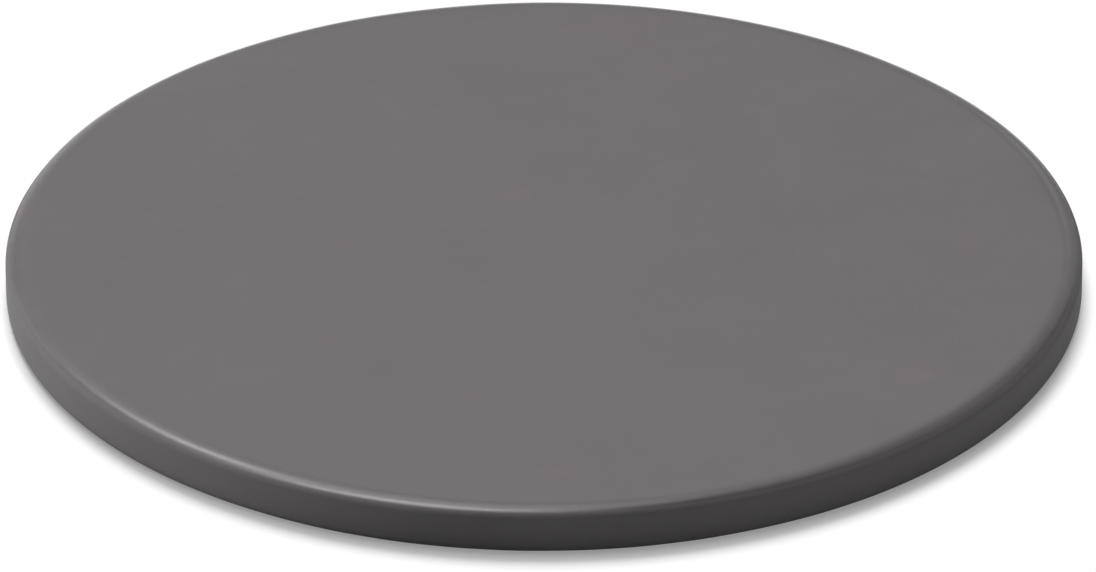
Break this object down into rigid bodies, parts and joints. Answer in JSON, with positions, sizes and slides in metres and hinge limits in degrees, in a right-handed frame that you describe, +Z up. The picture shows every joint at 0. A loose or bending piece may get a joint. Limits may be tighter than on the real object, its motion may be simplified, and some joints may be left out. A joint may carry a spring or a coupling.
{
  "type": "pizza stone",
  "caption": "Round flat pizza stone: a thick fired ceramic disc with softly rounded edges, under a dark grey satin glaze that ends in a bead just above its bare underside.",
  "frame": {"origin": "centre of the flat underside, on the surface that the stone lies on", "axes": "+Z up through the middle of the disc, out of the baking face; X and Y lie in the underside and are free, because the stone is round"},
  "size_m": [0.3649, 0.365, 0.016],
  "materials": {
    "bare_ceramic": "matte",
    "dark_glaze": "satin"
  },
  "bodies": {
    "root": {"ceramic_body": "bare_ceramic", "glaze_coat": "dark_glaze"}
  },
  "joints": []
}
